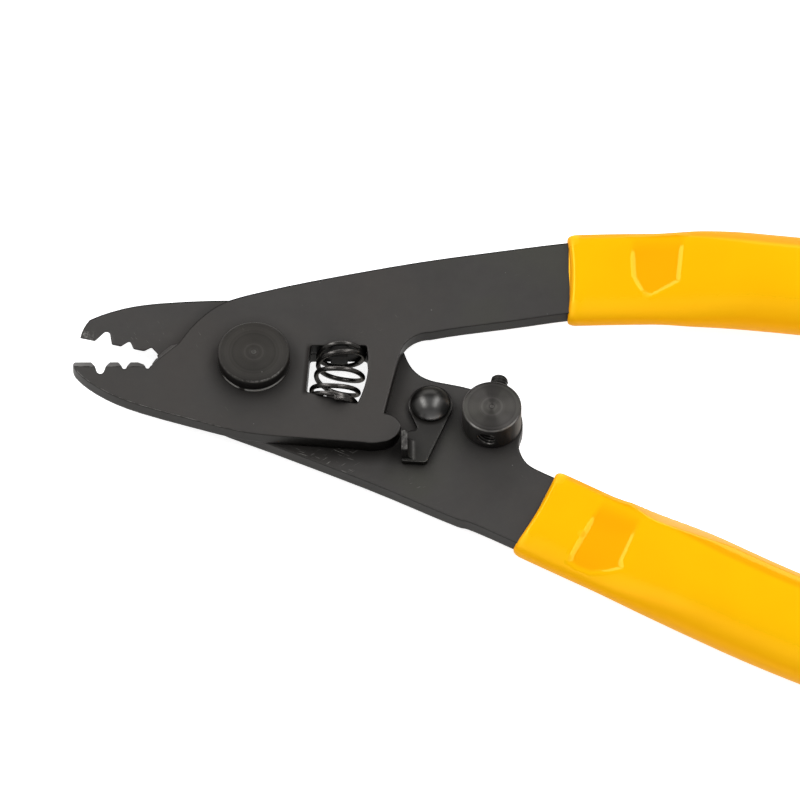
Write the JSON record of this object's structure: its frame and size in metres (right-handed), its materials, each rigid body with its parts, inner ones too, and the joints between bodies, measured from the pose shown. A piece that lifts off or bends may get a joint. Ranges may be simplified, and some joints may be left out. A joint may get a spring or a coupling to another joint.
{
  "type": "wire stripper",
  "caption": "Three-notch fibre and wire stripper: crossed steel levers on a screw pivot, coil return spring, closed-position lock, stop screw and dipped grips.",
  "frame": {"origin": "On the pivot axis, at the back face of the pivot nut, on which the tool lies.", "axes": "+X from the pivot towards the handles, +Y towards the upper (front) handle in the plane of the levers, +Z from the rear lever to the front lever, away from the surface it lies on."},
  "size_m": [0.1664, 0.09, 0.0105],
  "materials": {
    "lever_steel": "black oxide over ground plate, satin, lightly worn at the edges",
    "fastener_steel": "black oxide, turned or formed, satin",
    "bright_steel": "plain thin spring steel washer and shim",
    "spring_steel": "oil-blackened drawn wire, glossy",
    "grip_vinyl": "yellow dipped plastisol, smooth and glossy"
  },
  "bodies": {
    "rear_half": {"rear_lever": "lever_steel", "rear_grip": "grip_vinyl", "pivot_screw": "fastener_steel", "pivot_wave_washer": "bright_steel", "pivot_shim": "bright_steel", "pivot_back_washer": "fastener_steel", "pivot_nut": "fastener_steel", "return_spring": "spring_steel", "latch_rivet": "fastener_steel", "latch_spring_washer": "fastener_steel", "stop_boss": "fastener_steel"},
    "front_half": {"front_lever": "lever_steel", "front_grip": "grip_vinyl"},
    "latch": {"lock_latch": "fastener_steel"},
    "set_screw": {"stop_screw": "fastener_steel"}
  },
  "joints": [
    {"name": "lever_pivot", "type": "hinge", "parent": "rear_half", "child": "front_half", "pos_m": [0, 0, 0], "axis": [0, 0, 1], "range_deg": [-14.8, 0], "stiffness_Nm_per_rad": 0.43, "springref_deg": 8.02, "deforming": ["return_spring"]},
    {"name": "latch_pivot", "type": "hinge", "parent": "rear_half", "child": "latch", "pos_m": [0.0268, -0.00685, 0], "axis": [0, 0, 1], "range_deg": [0, 35]},
    {"name": "stop_screw_travel", "type": "slide", "parent": "rear_half", "child": "set_screw", "axis": [0.1959, 0.9806, 0], "range_m": [-0.0015, 0]}
  ]
}
